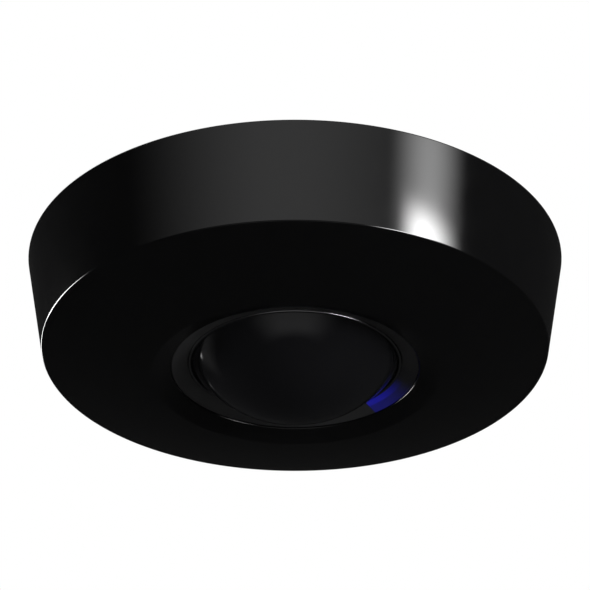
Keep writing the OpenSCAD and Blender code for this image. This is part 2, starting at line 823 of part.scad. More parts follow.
module optics_block() color("slategray") {
    difference() {
        intersection() {
            turret(head_wall + 0.1);
            looking() translate([-60, -60, block_t]) cube([120, 120, 40]);
        }
        looking() {
            translate([0, receiver_y, 0]) disc(receiver_r, -20, 40);
            translate([0, emitter_y, 0]) disc(emitter_r, -20, 40);
        }
    }
}

// Tube with a shoulder that its lens sits on
module barrel(r, front_t) {
    difference() {
        disc(r, block_t, front_t);
        disc(r - barrel_wall, front_t - 2.2, front_t + 1);
        disc(r - 2 * barrel_wall, block_t - 1, front_t + 1);
    }
}

// Plano-convex lens with its flat side on the shoulder
module lens(r, front_t) {
    bulge_r = 2.4 * r;
    seat_t = front_t - 2.2;
    intersection() {
        disc(r - barrel_wall, seat_t, front_t);
        translate([0, 0, front_t - 0.2 - bulge_r]) sphere(r = bulge_r, $fn = 120);
    }
}

module receiver_barrel() color("black")
    looking() translate([0, receiver_y, 0]) barrel(receiver_r - fit_gap, face_t - 0.3);

module receiver_lens() color([0.25, 0.1, 0.15])
    looking() translate([0, receiver_y, 0]) lens(receiver_r - fit_gap, face_t - 0.3);

module emitter_barrel() color("black")
    looking() translate([0, emitter_y, 0]) barrel(emitter_r - fit_gap, face_t - 0.3);

module emitter_lens() color([0.25, 0.1, 0.15])
    looking() translate([0, emitter_y, 0]) lens(emitter_r - fit_gap, face_t - 0.3);

module detector_board() color("darkgreen") {
    board_thick = 0.9;
    half_h = 3.1;
    looking() translate([0, receiver_y, 0]) block(2 * half_h, 9, block_t - board_thick, block_t);
}

module laser_diode() color("goldenrod")
    looking() translate([0, emitter_y, 0]) disc(1.8, block_t - 1.4, block_t);

module balance_weight() color("darkgray") {
    weight_h = 3.2;
    arc_wall(9, head_r - head_wall - 0.6, look_angle + 180 - 45, 90, head_high_z - weight_h, head_high_z);
}

mount_plate();
rear_base();
base_screws();
base_seal();
housing_shell();
light_ring();
status_window();
bezel_ring();
dome_window();
dome_seal();
window_frame();
window_frame_screws();
led_board();
status_leds();
link_connector();
main_board();
board_screws();
processor();
thermal_pad();
shield_can();
capacitors();
inductors();
network_transformer();
network_socket();
socket_contacts();
motor_base();
motor_base_screws();
stator_core();
stator_windings();
motor_flex();
motor_socket();
bearing_outer_races();
preload_washer();
bearing_balls();
bearing_cages();
bearing_inner_races();
rotor_shaft();
shaft_circlip();
rotor_cup();
rotor_magnets();
turntable();
turntable_screws();
power_coil_fixed();
power_coil_rotor();
encoder_ring();
encoder_sensor();
data_link_sensor();
data_link_emitter();
head_board();
optics_block();
receiver_barrel();
receiver_lens();
detector_board();
emitter_barrel();
emitter_lens();
laser_diode();
balance_weight();
head_cover();
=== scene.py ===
"""Looks of an overhead dome scanner module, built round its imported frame.

Each sub-assembly is a class that holds its sizes and builds and dresses its pieces. All lengths are
in metres, in the frame's own axes: the origin is on the mounting surface and the dome points down.
"""

import json
import logging
import math
from collections.abc import Iterable, Sequence
from dataclasses import dataclass
from enum import Enum

import bmesh
import bpy
from mathutils import Matrix, Vector


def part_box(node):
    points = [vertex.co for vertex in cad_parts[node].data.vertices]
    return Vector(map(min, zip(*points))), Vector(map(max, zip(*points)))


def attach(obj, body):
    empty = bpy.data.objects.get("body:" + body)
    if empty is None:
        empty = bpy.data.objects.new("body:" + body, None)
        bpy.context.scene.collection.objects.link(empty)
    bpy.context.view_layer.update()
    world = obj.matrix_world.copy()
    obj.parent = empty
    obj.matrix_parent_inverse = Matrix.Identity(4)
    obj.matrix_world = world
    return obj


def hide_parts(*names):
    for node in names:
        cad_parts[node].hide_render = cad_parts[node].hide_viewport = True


LOG = logging.getLogger("scanner")
MM = 0.001
WAVES_IN_UNIT = 20.0
Point = tuple[float, float]
Colour = tuple[float, float, float]
Inputs = dict[str | int, object]
Socket = bpy.types.NodeSocket
Solid = bpy.types.Object
Material = bpy.types.Material
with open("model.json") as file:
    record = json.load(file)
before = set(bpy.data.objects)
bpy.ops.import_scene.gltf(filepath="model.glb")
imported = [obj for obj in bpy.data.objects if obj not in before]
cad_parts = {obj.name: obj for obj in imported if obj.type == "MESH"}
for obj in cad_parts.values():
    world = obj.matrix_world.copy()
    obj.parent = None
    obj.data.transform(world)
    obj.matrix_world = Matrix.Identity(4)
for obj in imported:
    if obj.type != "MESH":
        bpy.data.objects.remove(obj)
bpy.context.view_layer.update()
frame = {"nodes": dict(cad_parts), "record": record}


# ---- Node trees ----


class NodeSheet:
    """Short ways to add and join nodes in one shader or geometry tree."""

    def __init__(self, tree: bpy.types.NodeTree) -> None:
        """Takes the tree to work in.

        Args:
            tree: The tree that new nodes go into.
        """
        self.tree = tree

    def feed(self, value: object, socket: Socket) -> None:
        """Links a socket, or sets its own value.

        Args:
            value: An output socket to link, or a plain value, or None to leave it alone.
            socket: The input that takes it.
        """
        if isinstance(value, Socket):
            self.tree.links.new(value, socket)
        elif value is not None:
            socket.default_value = value

    def add(self, kind: str, inputs: Inputs | None = None, **settings: object) -> bpy.types.Node:
        """Adds one node.

        Args:
            kind: The node's type name.
            inputs: Values or sockets for its inputs, by name or by number.
            **settings: The node's own properties, such as its operation.

        Returns:
            The new node.
        """
        node = self.tree.nodes.new(kind)
        for key, value in settings.items():
            setattr(node, key, value)
        for key, value in (inputs or {}).items():
            self.feed(value, node.inputs[key])
        return node

    def math(self, operation: str, *values: object) -> Socket:
        """Adds a Math node over its values and returns the result's socket."""
        return self.add("ShaderNodeMath", dict(enumerate(values)), operation=operation).outputs[0]

    def smooth(self, value: object, low: float, high: float, start: float = 0.0,
               end: float = 1.0) -> Socket:
        """Adds a smooth step.

        Args:
            value: The socket that is read.
            low: Where the step starts.
            high: Where it ends.
            start: The result below the step.
            end: The result above it.

        Returns:
            The result's socket.
        """
        names = {0: value, 1: low, 2: high, 3: start, 4: end}
        node = self.add("ShaderNodeMapRange", names, interpolation_type="SMOOTHSTEP")
        return node.outputs[0]

    def reach(self, place: bpy.types.Node) -> Socket:
        """Returns the distance from the vertical axis of a separated position."""
        x, y = (self.math("POWER", place.outputs[k], 2.0) for k in (0, 1))
        return self.math("SQRT", self.math("ADD", x, y))

    def blend(self, factor: object, first: Colour, second: Colour) -> Socket:
        """Adds a two-colour ramp over a factor and returns its colour socket."""
        ramp = self.add("ShaderNodeValToRGB", {0: factor})
        ramp.color_ramp.elements[0].color = (*first, 1.0)
        ramp.color_ramp.elements[1].color = (*second, 1.0)
        return ramp.outputs[0]


# ---- Finishes ----


class Grain(Enum):
    """How the pattern of a finish runs over its piece."""

    FINE = "fine"
    TURNED = "turned"
    STACKED = "stacked"
    DRAWN = "drawn"
    TRACKS = "tracks"
    SPECKLED = "speckled"


@dataclass(frozen=True)
class Finish:
    """One surface finish with a procedural pattern, its pitch in millimetres, in colour, gloss and relief."""

    name: str
    dark: Colour
    light: Colour
    gloss: tuple[float, float] = (0.4, 0.5)
    grain: Grain = Grain.FINE
    pitch: float = 0.5
    relief: float = 0.02
    metal: float = 0.0
    coat: float = 0.0
    sheen: float = 0.0
    clear: float = 0.0
    specular: float = 0.5

    def pattern(self, sheet: NodeSheet, place: Socket) -> Socket:
        """Builds the pattern from 0 to 1.

        Args:
            sheet: The material's tree.
            place: The object coordinates.

        Returns:
            The socket of the pattern.
        """
        scale = 1.0 / (self.pitch * MM)
        if self.grain is Grain.FINE:
            fine = {"Vector": place, "Scale": scale, "Detail": 5.0, "Roughness": 0.6}
            return sheet.add("ShaderNodeTexNoise", fine).outputs[0]
        if self.grain is Grain.SPECKLED:
            specks = {"Vector": place, "Scale": scale, "Randomness": 1.0}
            return sheet.add("ShaderNodeTexVoronoi", specks).outputs[0]
        if self.grain is Grain.TRACKS:
            cells = sheet.add("ShaderNodeTexVoronoi", {"Vector": place, "Scale": scale}, feature="F1",
                              distance="CHEBYCHEV")
            return sheet.smooth(cells.outputs[0], 0.34, 0.46)
        if self.grain is Grain.DRAWN:
            stretch = sheet.add("ShaderNodeMapping", {"Vector": place, "Scale": (1.0, 1.0, 0.04)})
            lines = {"Vector": stretch.outputs[0], "Scale": scale, "Detail": 4.0}
            return sheet.add("ShaderNodeTexNoise", lines).outputs[0]
        banded = {"Vector": place, "Scale": scale / WAVES_IN_UNIT, "Distortion": 0.15, "Detail": 2.0,
                  "Detail Scale": 3.0}
        if self.grain is Grain.STACKED:
            return sheet.add("ShaderNodeTexWave", banded, wave_type="BANDS", bands_direction="Z").outputs[1]
        return sheet.add("ShaderNodeTexWave", banded, wave_type="RINGS", rings_direction="Z").outputs[1]

    def colour(self, sheet: NodeSheet, factor: Socket) -> Socket:
        """Returns the colour socket for a pattern's factor."""
        return sheet.blend(factor, self.dark, self.light)

    def light_up(self, sheet: NodeSheet, shader: bpy.types.Node, place: Socket) -> None:
        """Adds what the finish gives off, which is nothing here."""

    def build(self) -> Material:
        """Builds the material.

        Returns:
            The new material.
        """
        material = bpy.data.materials.new(self.name)
        material.use_nodes = True
        material.node_tree.nodes.clear()
        sheet = NodeSheet(material.node_tree)
        place = sheet.add("ShaderNodeTexCoord").outputs["Object"]
        factor = self.pattern(sheet, place)
        shader = sheet.add("ShaderNodeBsdfPrincipled", {
            "Base Color": self.colour(sheet, factor), "Metallic": self.metal, "Coat Weight": self.coat,
            "Coat Roughness": 0.05, "Sheen Weight": self.sheen, "Transmission Weight": self.clear,
            "Specular IOR Level": self.specular, "IOR": 1.5})
        shade = {0: factor, 1: 0.25, 2: 0.75, 3: self.gloss[0], 4: self.gloss[1]}
        sheet.feed(sheet.add("ShaderNodeMapRange", shade).outputs[0], shader.inputs["Roughness"])
        if self.relief:
            bump = {"Height": factor, "Strength": self.relief, "Distance": 0.3 * (self.pitch * MM)}
            sheet.feed(sheet.add("ShaderNodeBump", bump).outputs[0], shader.inputs["Normal"])
        self.light_up(sheet, shader, place)
        out = sheet.add("ShaderNodeOutputMaterial")
        sheet.feed(shader.outputs[0], out.inputs["Surface"])
        return material


@dataclass(frozen=True)
class StatusGlow(Finish):
    """Light guide with lamps behind it: bright beside the first lamp and fading along the ring."""

    first: float = 47.6
    last: float = 14.0
    inner: float = 24.9 * MM
    glow: Colour = (0.0035, 0.0032, 0.205)
    strength: float = 1.0

    def light_up(self, sheet: NodeSheet, shader: bpy.types.Node, place: Socket) -> None:
        """Adds the glow.

        Args:
            sheet: The material's tree.
            shader: The shader that gives it off.
            place: The object coordinates.
        """
        parts = sheet.add("ShaderNodeSeparateXYZ", {0: place})
        angle = sheet.math("DEGREES", sheet.math("ARCTAN2", parts.outputs[1], parts.outputs[0]))
        reach = sheet.reach(parts)
        along = sheet.smooth(angle, self.last, self.first - 4.0)
        across = sheet.smooth(reach, self.inner, self.inner + 0.5 * MM, 1.0, 0.42)
        sheet.feed((*self.glow, 1.0), shader.inputs["Emission Color"])
        sheet.feed(sheet.math("MULTIPLY", sheet.math("MULTIPLY", along, across), self.strength),
                   shader.inputs["Emission Strength"])


class Palette:
    """The finishes of the module, each built once when it is first asked for."""

    FINISHES = (
        Finish("gloss_black", (0.0016, 0.0016, 0.0017), (0.0024, 0.0024, 0.0025), (0.08, 0.11),
               pitch=6.0, relief=0.0),
        Finish("lip_black", (0.30, 0.30, 0.31), (0.36, 0.36, 0.37), (0.12, 0.16), Grain.TURNED, 0.4,
               0.0, 1.0),
        Finish("dome_black", (0.0030, 0.0030, 0.0034), (0.0040, 0.0040, 0.0045), (0.06, 0.08),
               pitch=8.0, relief=0.0),
        Finish("ring_grey", (0.011, 0.011, 0.0115), (0.017, 0.017, 0.0175), (0.42, 0.52), pitch=0.25,
               relief=0.10),
        StatusGlow("status_blue", (0.008, 0.008, 0.010), (0.012, 0.012, 0.015), (0.40, 0.50),
                   pitch=0.25, relief=0.08),
        Finish("plate_plastic", (0.018, 0.018, 0.019), (0.030, 0.030, 0.031), (0.45, 0.60), pitch=0.35,
               relief=0.20),
        Finish("cast_alloy", (0.42, 0.43, 0.44), (0.55, 0.56, 0.57), (0.38, 0.55), pitch=0.5,
               relief=0.25, metal=1.0),
        Finish("turned_alloy", (0.60, 0.61, 0.62), (0.72, 0.73, 0.74), (0.20, 0.32), Grain.TURNED,
               0.30, 0.10, 1.0),
        Finish("dark_alloy", (0.05, 0.05, 0.055), (0.09, 0.09, 0.095), (0.35, 0.45), Grain.TURNED,
               0.40, 0.10, 0.8),
        Finish("frame_plastic", (0.030, 0.030, 0.032), (0.045, 0.045, 0.047), (0.45, 0.60), pitch=0.4,
               relief=0.15),
        Finish("seal_rubber", (0.010, 0.010, 0.010), (0.018, 0.018, 0.018), (0.60, 0.75), pitch=0.4,
               relief=0.15, sheen=0.2),
        Finish("screw_steel", (0.50, 0.50, 0.51), (0.66, 0.66, 0.67), (0.22, 0.35), pitch=0.2,
               relief=0.05, metal=1.0),
        Finish("board_green", (0.004, 0.055, 0.020), (0.010, 0.100, 0.038), (0.28, 0.36), Grain.TRACKS,
               1.8, 0.10, coat=0.4),
        Finish("chip_black", (0.012, 0.012, 0.013), (0.024, 0.024, 0.025), (0.45, 0.60), pitch=0.15,
               relief=0.12),
        Finish("led_white", (0.75, 0.74, 0.68), (0.85, 0.84, 0.78), (0.30, 0.40), pitch=0.5, relief=0.02),
        Finish("pad_grey", (0.30, 0.33, 0.38), (0.38, 0.41, 0.46), (0.60, 0.75), pitch=0.3, relief=0.15),
        Finish("tinned_steel", (0.55, 0.55, 0.53), (0.68, 0.68, 0.66), (0.22, 0.32), Grain.DRAWN, 0.3,
               0.05, 1.0),
        Finish("can_sleeve", (0.46, 0.47, 0.49), (0.58, 0.59, 0.61), (0.20, 0.28), Grain.DRAWN, 0.2,
               0.05, 1.0),
        Finish("ferrite", (0.030, 0.028, 0.028), (0.050, 0.047, 0.046), (0.50, 0.65), Grain.SPECKLED,
               0.3, 0.15),
        Finish("socket_plastic", (0.030, 0.030, 0.032), (0.040, 0.040, 0.043), (0.30, 0.40), pitch=0.4,
               relief=0.06),
        Finish("gold", (0.72, 0.48, 0.16), (0.86, 0.60, 0.24), (0.16, 0.26), Grain.DRAWN, 0.2, 0.04, 1.0),
        Finish("lamination", (0.20, 0.20, 0.21), (0.42, 0.42, 0.43), (0.30, 0.45), Grain.STACKED, 0.35,
               0.35, 1.0),
        Finish("copper_wire", (0.42, 0.13, 0.05), (0.62, 0.22, 0.09), (0.20, 0.30), Grain.DRAWN, 0.2,
               0.05, 1.0, coat=0.5),
        Finish("flex_amber", (0.50, 0.20, 0.02), (0.62, 0.28, 0.04), (0.22, 0.30), Grain.DRAWN, 0.6,
               0.06, coat=0.3),
        Finish("bearing_steel", (0.62, 0.62, 0.63), (0.74, 0.74, 0.75), (0.08, 0.14), Grain.TURNED,
               0.15, 0.03, 1.0),
        Finish("cage_brass", (0.52, 0.36, 0.12), (0.66, 0.47, 0.18), (0.25, 0.35), Grain.TURNED, 0.2,
               0.05, 1.0),
        Finish("spring_steel", (0.34, 0.34, 0.36), (0.48, 0.48, 0.50), (0.25, 0.35), Grain.TURNED, 0.2,
               0.05, 1.0),
        Finish("cup_steel", (0.40, 0.41, 0.42), (0.54, 0.55, 0.56), (0.22, 0.34), Grain.TURNED, 0.5,
               0.08, 1.0),
        Finish("magnet", (0.22, 0.22, 0.23), (0.32, 0.32, 0.33), (0.25, 0.38), pitch=0.25, relief=0.05,
               metal=1.0),
        Finish("encoder_alloy", (0.30, 0.31, 0.32), (0.44, 0.45, 0.46), (0.28, 0.40), Grain.TURNED,
               0.3, 0.05, 1.0),
        Finish("head_black", (0.008, 0.008, 0.009), (0.014, 0.014, 0.015), (0.35, 0.50), pitch=0.3,
               relief=0.10),
        Finish("lens_glass", (0.10, 0.03, 0.06), (0.14, 0.05, 0.09), (0.02, 0.04), pitch=3.0,
               relief=0.0, coat=1.0),
        Finish("tungsten", (0.24, 0.24, 0.25), (0.34, 0.34, 0.35), (0.35, 0.50), pitch=0.2,
               relief=0.15, metal=1.0),
    )

    def __init__(self) -> None:
        """Starts with no material built."""
        self._built: dict[str, Material] = {}

    def material(self, name: str) -> Material:
        """Returns the material of a named finish, building it if need be."""
        if name not in self._built:
            finish = next(f for f in self.FINISHES if f.name == name)
            self._built[name] = finish.build()
        return self._built[name]


# ---- Mesh work ----


@dataclass(frozen=True)
class Corner:
    """A corner of a profile: its radius from the axis, its level, and how far it is rounded."""

    r: float
    z: float
    round: float = 0.0


class Profile:
    """A closed outline that is turned about the vertical axis."""

    def __init__(self, corners: Sequence[Corner], arc_steps: int = 6) -> None:
        """Rounds the corners.

        Args:
            corners: The corners in order.
            arc_steps: How many steps each rounded corner takes.
        """
        self.points: list[Point] = []
        count = len(corners)
        for i, here in enumerate(corners):
            if here.round <= 0.0:
                self.points.append((here.r, here.z))
                continue
            before, after = corners[i - 1], corners[(i + 1) % count]
            self.points.extend(self._arc(before, here, after, arc_steps))

    @staticmethod
    def _arc(before: Corner, here: Corner, after: Corner, steps: int) -> list[Point]:
        """Returns the points that round one corner.

        Args:
            before: The corner before it.
            here: The corner itself.
            after: The corner after it.
            steps: How many steps the arc takes.

        Returns:
            The arc's points, in order.
        """
        tip = Vector((here.r, here.z))
        back = (Vector((before.r, before.z)) - tip)
        ahead = (Vector((after.r, after.z)) - tip)
        half = back.angle(ahead) / 2.0
        reach = min(here.round / math.tan(half), 0.49 * back.length, 0.49 * ahead.length)
        radius = reach * math.tan(half)
        back.normalize()
        ahead.normalize()
        centre = tip + (back + ahead).normalized() * (radius / math.sin(half))
        first, last = tip + back * reach - centre, tip + ahead * reach - centre
        turn = math.pi - 2.0 * half
        sign = 1.0 if first.x * last.y - first.y * last.x > 0.0 else -1.0
        made: list[Point] = []
        for k in range(steps + 1):
            a = sign * turn * k / steps
            made.append((centre.x + first.x * math.cos(a) - first.y * math.sin(a),
                         centre.y + first.x * math.sin(a) + first.y * math.cos(a)))
        return made

    def turned(self, name: str, start: float = 0.0, sweep: float = 360.0, segments: int = 192) -> Solid:
        """Turns the outline into a solid.

        Args:
            name: The new object's name.
            start: The angle where it starts, in degrees.
            sweep: How far it goes round, in degrees.
            segments: How many segments a whole turn has.

        Returns:
            The new object.
        """
        whole = sweep >= 360.0
        steps = segments if whole else max(2, round(segments * sweep / 360.0))
        mesh = bmesh.new()
        rows: list[list[bmesh.types.BMVert]] = []
        for i in range(steps if whole else steps + 1):
            a = math.radians(start + sweep * i / steps)
            rows.append([mesh.verts.new((r * math.cos(a), r * math.sin(a), z)) for r, z in self.points])
        count = len(self.points)
        for i in range(steps):
            here, there = rows[i], rows[(i + 1) % len(rows)]
            for k in range(count):
                n = (k + 1) % count
                mesh.faces.new((here[k], there[k], there[n], here[n]))
        if not whole:
            mesh.faces.new(rows[0])
            mesh.faces.new(rows[-1])
        bmesh.ops.remove_doubles(mesh, verts=mesh.verts, dist=1e-7)
        return Workshop.keep(mesh, name)


class Workshop:
    """Ways to finish meshes that every sub-assembly uses."""

    @staticmethod
    def keep(mesh: bmesh.types.BMesh, name: str, crease: float = 32.0) -> Solid:
        """Turns a working mesh into an object with its faces outwards.

        Args:
            mesh: The working mesh, which is freed.
            name: The new object's name.
            crease: The angle in degrees above which an edge is sharp.

        Returns:
            The new object.
        """
        bmesh.ops.dissolve_degenerate(mesh, edges=mesh.edges, dist=1e-8)
        bmesh.ops.recalc_face_normals(mesh, faces=mesh.faces)
        if mesh.calc_volume(signed=True) < 0.0:
            bmesh.ops.reverse_faces(mesh, faces=mesh.faces)
        data = bpy.data.meshes.new(name)
        mesh.to_mesh(data)
        mesh.free()
        data.shade_smooth()
        data.set_sharp_from_angle(angle=math.radians(crease))
        piece = bpy.data.objects.new(name, data)
        bpy.context.scene.collection.objects.link(piece)
        return piece

    @staticmethod
    def post(x: float, y: float, radius: float, low: float, high: float, name: str, segments: int = 48,
             top: float | None = None) -> Solid:
        """Builds an upright cylinder or cone.

        Args:
            x: Where its axis stands.
            y: Where its axis stands.
            radius: Its radius at the bottom.
            low: Its bottom level.
            high: Its top level.
            name: The new object's name.
            segments: Its number of sides.
            top: Its radius at the top, if it differs.

        Returns:
            The new object.
        """
        mesh = bmesh.new()
        place = Matrix.Translation((x, y, (low + high) / 2.0))
        bmesh.ops.create_cone(mesh, cap_ends=True, segments=segments, radius1=radius,
                              radius2=radius if top is None else top, depth=high - low, matrix=place)
        return Workshop.keep(mesh, name)

    @staticmethod
    def combine(base: Solid, tools: Iterable[Solid], operation: str) -> None:
        """Adds tools to a piece or cuts them out of it, and removes them.

        Args:
            base: The piece that is changed.
            tools: The solids to use.
            operation: UNION, DIFFERENCE or INTERSECT.
        """
        tools = list(tools)
        for tool in tools:
            step = base.modifiers.new("combine", "BOOLEAN")
            step.operation, step.object, step.solver = operation, tool, "EXACT"
        Workshop.bake(base)
        for tool in tools:
            bpy.data.objects.remove(tool)

    @staticmethod
    def bake(piece: Solid, crease: float = 32.0) -> None:
        """Makes a piece's modifiers part of its mesh.

        Args:
            piece: The piece that is changed.
            crease: The angle in degrees above which an edge is sharp.
        """
        graph = bpy.context.evaluated_depsgraph_get()
        data = bpy.data.meshes.new_from_object(piece.evaluated_get(graph), depsgraph=graph)
        piece.modifiers.clear()
        piece.data = data
        data.shade_smooth()
        data.set_sharp_from_angle(angle=math.radians(crease))

    @staticmethod
    def dress(piece: Solid, material: Material) -> None:
        """Gives a piece one material in its only slot."""
        piece.data.materials.clear()
        piece.data.materials.append(material)

    @staticmethod
    def refined(node: str, width: float = 0.12 * MM, segments: int = 2) -> Solid:
        """Copies a CAD node, merges it and breaks its sharp edges.

        Args:
            node: The node to copy.
            width: How wide the broken edges are.
            segments: How many steps they take.

        Returns:
            The new piece.
        """
        mesh = bmesh.new()
        mesh.from_mesh(frame["nodes"][node].data)
        bmesh.ops.remove_doubles(mesh, verts=mesh.verts, dist=2e-6)
        bmesh.ops.dissolve_limit(mesh, angle_limit=math.radians(0.6), verts=mesh.verts, edges=mesh.edges)
        piece = Workshop.keep(mesh, node + "_piece")
        if width > 0.0:
            bevel = piece.modifiers.new("broken_edges", "BEVEL")
            bevel.width, bevel.segments, bevel.limit_method = width, segments, "ANGLE"
            bevel.angle_limit, bevel.use_clamp_overlap = math.radians(40.0), True
            Workshop.bake(piece)
        for face in piece.data.polygons:
            face.use_smooth = abs(face.normal.z) < 0.9999 and len(face.vertices) <= 4
        return piece


class Recipe:
    """A Geometry Nodes tree with named sizes that makes one plain mesh."""

    def __init__(self, name: str) -> None:
        """Starts the tree.

        Args:
            name: The tree's name.
        """
        self.name = name
        self.tree = bpy.data.node_groups.new(name, "GeometryNodeTree")
        self.tree.interface.new_socket("Result", in_out="OUTPUT", socket_type="NodeSocketGeometry")
        self.sheet = NodeSheet(self.tree)
        self.values: dict[str, float | int] = {}

    def size(self, label: str, value: float | int) -> Socket:
        """Adds a named input.

        Args:
            label: The input's name.
            value: Its value, whole for a count.

        Returns:
            The socket that gives the value inside the tree.
        """
        kind = "NodeSocketInt" if isinstance(value, int) else "NodeSocketFloat"
        socket = self.tree.interface.new_socket(label, in_out="INPUT", socket_type=kind)
        self.values[socket.identifier] = value
        return self.sheet.add("NodeGroupInput").outputs[label]

    def node(self, kind: str, inputs: Inputs | None = None, **settings: object) -> Socket:
        """Adds a node and returns its first output."""
        return self.sheet.add("GeometryNode" + kind, inputs, **settings).outputs[0]

    def joined(self, *parts: Socket) -> Socket:
        """Joins geometry sockets into one."""
        join = self.sheet.add("GeometryNodeJoinGeometry")
        for part in parts:
            self.sheet.feed(part, join.inputs[0])
        return join.outputs[0]

    def vector(self, x: object = 0.0, y: object = 0.0, z: object = 0.0) -> Socket:
        """Combines three values into a vector."""
        return self.sheet.add("ShaderNodeCombineXYZ", {0: x, 1: y, 2: z}).outputs[0]

    def pipe(self, curve: object, radius: object, sides: int = 8) -> Socket:
        """Gives a curve a round section of its own radius."""
        ring = self.node("CurvePrimitiveCircle", {"Resolution": sides, "Radius": radius})
        return self.node("CurveToMesh", {"Curve": curve, "Profile Curve": ring, "Fill Caps": True})

    def ringed(self, piece: object, count: object, radius: object, turn: object, level: object) -> Socket:
        """Sets copies of a piece evenly on a circle, each turned to face outwards.

        Args:
            piece: The geometry to copy.
            count: How many copies there are.
            radius: The circle's radius.
            turn: The angle of the first, in radians.
            level: The circle's level.

        Returns:
            The instances.
        """
        index = self.node("InputIndex")
        step = self.sheet.math("DIVIDE", math.tau, count)
        angle = self.sheet.math("ADD", self.sheet.math("MULTIPLY", index, step), turn)
        x = self.sheet.math("MULTIPLY", self.sheet.math("COSINE", angle), radius)
        y = self.sheet.math("MULTIPLY", self.sheet.math("SINE", angle), radius)
        line = self.node("MeshLine", {"Count": count})
        placed = self.node("SetPosition", {"Geometry": line, "Position": self.vector(x, y, level)})
        facing = self.sheet.add("FunctionNodeEulerToRotation", {0: self.vector(z=angle)}).outputs[0]
        return self.node("InstanceOnPoints", {"Points": placed, "Instance": piece, "Rotation": facing})

    def made(self, result: Socket, material: Material, crease: float = 32.0) -> Solid:
        """Ends the tree and turns what it makes into a plain mesh.

        Args:
            result: The geometry to keep.
            material: Its finish.
            crease: The angle in degrees above which an edge is sharp.

        Returns:
            The new object.
        """
        solid = self.node("RealizeInstances", {0: result})
        dressed = self.node("SetMaterial", {"Geometry": solid, "Material": material})
        self.sheet.feed(dressed, self.sheet.add("NodeGroupOutput").inputs[0])
        piece = bpy.data.objects.new(self.name, bpy.data.meshes.new(self.name))
        bpy.context.scene.collection.objects.link(piece)
        step = piece.modifiers.new("recipe", "NODES")
        step.node_group = self.tree
        for identifier, value in self.values.items():
            step[identifier] = value
        Workshop.bake(piece, crease)
        return piece


class Assembly:
    """What every sub-assembly shares: the palette, and the way that its pieces are handed over."""

    def __init__(self, palette: Palette) -> None:
        """Takes the palette.

        Args:
            palette: The finishes that the pieces are dressed with.
        """
        self.palette = palette

    def hand_over(self, piece: Solid, body: str, slot: str, *nodes: str,
                  finish: str | None = None) -> Solid:
        """Dresses a piece, puts it on its body and lets it stand for CAD nodes.

        Args:
            piece: The finished piece.
            body: The body that it rides on.
            slot: The record's slot, and the finish of that name unless another is given.
            *nodes: The CAD nodes that it stands for.
            finish: The name of another finish for the same slot.

        Returns:
            The same piece.
        """
        Workshop.dress(piece, self.palette.material(finish or slot))
        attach(piece, body)
        if nodes:
            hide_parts(*nodes)
        LOG.info("%s: %d faces on %s, finish %s", piece.name, len(piece.data.polygons), body, slot)
        return piece


# ---- Housing ----


@dataclass
class HousingSizes:
    """Fine sizes of the housing that its box doesn't give."""

    taper: float = 3.86 * MM
    side: float = 22.6 * MM
    wall: float = 2.2 * MM
    edge_round: float = 0.45 * MM
    back_round: float = 0.35 * MM
    crown: float = 0.5 * MM
    crown_steps: int = 24
    mouth_radius: float = 31.8 * MM
    ring_radius: float = 27.4 * MM
    funnel_depth: float = 1.65 * MM
    ledge_radius: float = 29.55 * MM
    ledge_rise: float = 3.65 * MM
    lip_round: float = 0.55 * MM
    back_inner_round: float = 0.2 * MM
    mouth_round: float = 0.25 * MM
    ledge_round: float = 0.1 * MM
    ledge_slope: float = 1.4 * MM
    boss_radius: float = 3.4 * MM
    boss_circle: float = 50.46 * MM
    boss_top: float = -8.6 * MM
    boss_foot: float = -23.2 * MM
    screw_hole: float = 1.55 * MM
    screw_floor: float = -11.1 * MM
    inner_boss_radius: float = 3.0 * MM
    inner_boss_circle: float = 33.8 * MM
    inner_hole: float = 1.05 * MM
    inner_boss_root: float = 1.2 * MM
    inner_hole_depth: float = 2.4 * MM


